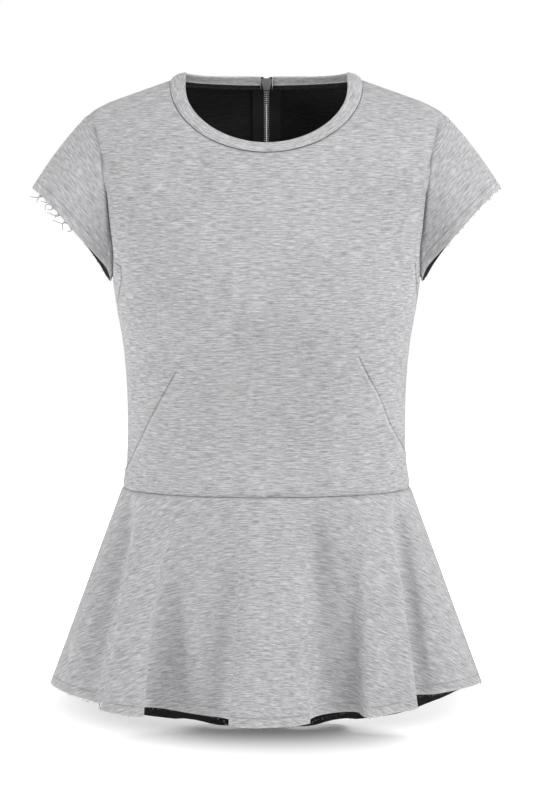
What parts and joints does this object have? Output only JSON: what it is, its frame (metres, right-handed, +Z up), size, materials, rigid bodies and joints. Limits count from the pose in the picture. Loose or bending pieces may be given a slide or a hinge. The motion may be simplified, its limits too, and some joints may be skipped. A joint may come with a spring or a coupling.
{
  "type": "short-sleeved peplum top",
  "caption": "Filled-out short-sleeved top of grey heather knit, black inside, with a neck band, a flared skirt below the waist seam and a metal zip at centre back.",
  "frame": {"origin": "midway between the two points where the neckline meets the shoulders", "axes": "+X the wearer's left, +Y the back, +Z up"},
  "size_m": [0.466, 0.3345, 0.6858],
  "materials": {
    "heather_knit": "matte two-tone knit, grey heather outside and black inside",
    "band_knit": "matte grey heather knit on both faces",
    "zip_tape": "woven black tape",
    "zip_metal": "bright nickel-coloured metal"
  },
  "bodies": {
    "garment": {"front_bodice": "heather_knit", "back_bodice_left": "heather_knit", "back_bodice_right": "heather_knit", "sleeve_left": "heather_knit", "sleeve_right": "heather_knit", "neck_band": "band_knit", "peplum_front": "heather_knit", "peplum_back": "heather_knit", "zip_tape_left": "zip_tape", "zip_tape_right": "zip_tape", "zip_chain": "zip_metal", "zip_slider": "zip_metal"},
    "pull_tab": {"zip_pull_tab": "zip_metal"}
  },
  "joints": [
    {"name": "pull_tab_hinge", "type": "hinge", "parent": "garment", "child": "pull_tab", "pos_m": [0, 0.07465, -0.00044], "axis": [1, 0, 0], "range_deg": [0, 150]}
  ]
}
